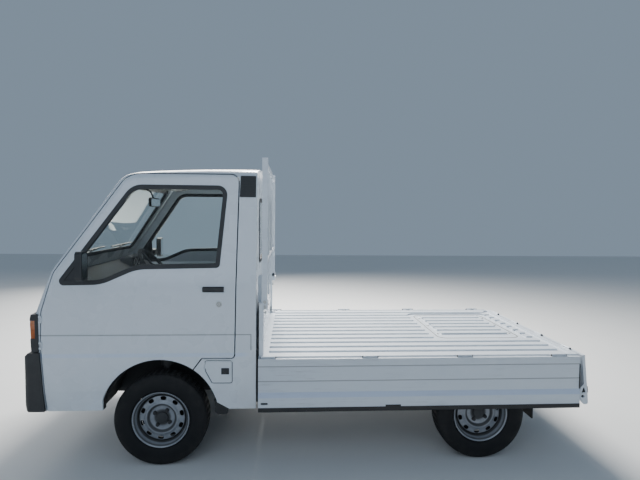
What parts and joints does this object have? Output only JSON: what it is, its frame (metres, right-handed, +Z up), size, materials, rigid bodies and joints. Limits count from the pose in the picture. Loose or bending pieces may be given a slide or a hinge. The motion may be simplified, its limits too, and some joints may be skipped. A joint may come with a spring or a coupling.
{
  "type": "kei truck",
  "caption": "Small cab-over pickup truck with a flat bed, drop side gates and tailgate, opening doors, steered front wheels and a guard frame behind the cab.",
  "frame": {"origin": "on the ground below the middle of the truck, half way between bumper and tailgate", "axes": "+X forward, +Y to the truck's left, +Z up"},
  "size_m": [3.2954, 1.6468, 1.7799],
  "materials": {
    "body_white": "gloss paint",
    "bed_white": "worn gloss paint",
    "black_plastic": "grained black plastic",
    "black_rubber": "window rubber",
    "glass": "clear glass",
    "clear_lens": "ribbed clear lens",
    "amber_lens": "amber lens",
    "red_lens": "red lens",
    "tyre": "road tyre",
    "wheel_silver": "silver paint",
    "chassis_black": "chassis black",
    "cast_engine": "dusty cast alloy",
    "exhaust_steel": "heat-stained steel",
    "seat_cloth": "woven grey cloth",
    "dash_grey": "moulded grey plastic"
  },
  "bodies": {
    "root": {"cab_front_panel": "body_white", "cab_roof": "body_white", "cab_back_wall": "body_white", "cab_side_left": "body_white", "cab_side_right": "body_white", "cab_floor": "body_white", "window_seals": "black_rubber", "windscreen": "glass", "back_window": "glass", "dashboard": "dash_grey", "steering_column": "dash_grey", "seats": "seat_cloth", "front_bumper": "black_plastic", "front_garnish": "black_plastic", "headlamps": "clear_lens", "corner_lamps": "amber_lens", "wipers": "black_plastic", "cab_vents": "black_plastic", "bed_deck": "bed_white", "engine_hatch": "bed_white", "guard_frame": "body_white", "frame_rails": "chassis_black", "frame_crossmembers": "chassis_black", "engine": "cast_engine", "fuel_tank": "chassis_black", "exhaust": "exhaust_steel", "rear_panel": "body_white", "tail_lamps": "red_lens", "front_suspension": "chassis_black", "rear_suspension": "chassis_black", "mud_flaps": "black_rubber", "wheel_liners": "chassis_black"},
    "steering_wheel": {"steering_wheel": "black_plastic"},
    "fuel_lid": {"fuel_lid": "body_white"},
    "door_left": {"door_left": "body_white", "door_glass_left": "glass", "door_trim_left": "black_plastic"},
    "door_right": {"door_right": "body_white", "door_glass_right": "glass", "door_trim_right": "black_plastic"},
    "side_gate_left": {"side_gate_left": "bed_white", "side_gate_strip_left": "black_rubber"},
    "side_gate_right": {"side_gate_right": "bed_white", "side_gate_strip_right": "black_rubber"},
    "tailgate": {"tailgate": "bed_white", "tailgate_levers": "black_plastic"},
    "knuckle_left": {"knuckle_left": "chassis_black"},
    "knuckle_right": {"knuckle_right": "chassis_black"},
    "wheel_front_left": {"tyre_front_left": "tyre", "rim_front_left": "wheel_silver"},
    "wheel_front_right": {"tyre_front_right": "tyre", "rim_front_right": "wheel_silver"},
    "wheel_rear_left": {"tyre_rear_left": "tyre", "rim_rear_left": "wheel_silver"},
    "wheel_rear_right": {"tyre_rear_right": "tyre", "rim_rear_right": "wheel_silver"}
  },
  "joints": [
    {"name": "door_left_hinge", "type": "hinge", "parent": "root", "child": "door_left", "pos_m": [1.529, 0.692, 0.7], "axis": [0, 0, -1], "range_deg": [0, 65]},
    {"name": "door_right_hinge", "type": "hinge", "parent": "root", "child": "door_right", "pos_m": [1.529, -0.692, 0.7], "axis": [0, 0, 1], "range_deg": [0, 65]},
    {"name": "side_gate_left_hinge", "type": "hinge", "parent": "root", "child": "side_gate_left", "pos_m": [-0.625, 0.698, 0.637], "axis": [1, 0, 0], "range_deg": [0, 180]},
    {"name": "side_gate_right_hinge", "type": "hinge", "parent": "root", "child": "side_gate_right", "pos_m": [-0.625, -0.698, 0.637], "axis": [-1, 0, 0], "range_deg": [0, 180]},
    {"name": "tailgate_hinge", "type": "hinge", "parent": "root", "child": "tailgate", "pos_m": [-1.599, 0, 0.637], "axis": [0, 1, 0], "range_deg": [0, 174]},
    {"name": "fuel_lid_hinge", "type": "hinge", "parent": "root", "child": "fuel_lid", "pos_m": [0.6295, 0.6895, 0.586], "axis": [0, 0, -1], "range_deg": [0, 95]},
    {"name": "steer_left", "type": "hinge", "parent": "root", "child": "knuckle_left", "pos_m": [0.885, 0.505, 0.268], "axis": [0, 0, 1], "range_deg": [-30, 30]},
    {"name": "steer_right", "type": "hinge", "parent": "root", "child": "knuckle_right", "pos_m": [0.885, -0.505, 0.268], "axis": [0, 0, 1], "range_deg": [-30, 30]},
    {"name": "steering_wheel_turn", "type": "hinge", "parent": "root", "child": "steering_wheel", "pos_m": [1.18148, -0.345, 1.03328], "axis": [-0.7799, 0, 0.6259], "range_deg": [-480, 480]},
    {"name": "wheel_front_left_spin", "type": "hinge", "parent": "knuckle_left", "child": "wheel_front_left", "pos_m": [0.885, 0.605, 0.268], "axis": [0, 1, 0], "continuous": true},
    {"name": "wheel_front_right_spin", "type": "hinge", "parent": "knuckle_right", "child": "wheel_front_right", "pos_m": [0.885, -0.605, 0.268], "axis": [0, 1, 0], "continuous": true},
    {"name": "wheel_rear_left_spin", "type": "hinge", "parent": "root", "child": "wheel_rear_left", "pos_m": [-1, 0.6, 0.268], "axis": [0, 1, 0], "continuous": true},
    {"name": "wheel_rear_right_spin", "type": "hinge", "parent": "root", "child": "wheel_rear_right", "pos_m": [-1, -0.6, 0.268], "axis": [0, 1, 0], "continuous": true}
  ],
  "couplings": [
    {"joint": "steer_right", "follows": "steer_left", "ratio": 1},
    {"joint": "steering_wheel_turn", "follows": "steer_left", "ratio": 16}
  ]
}
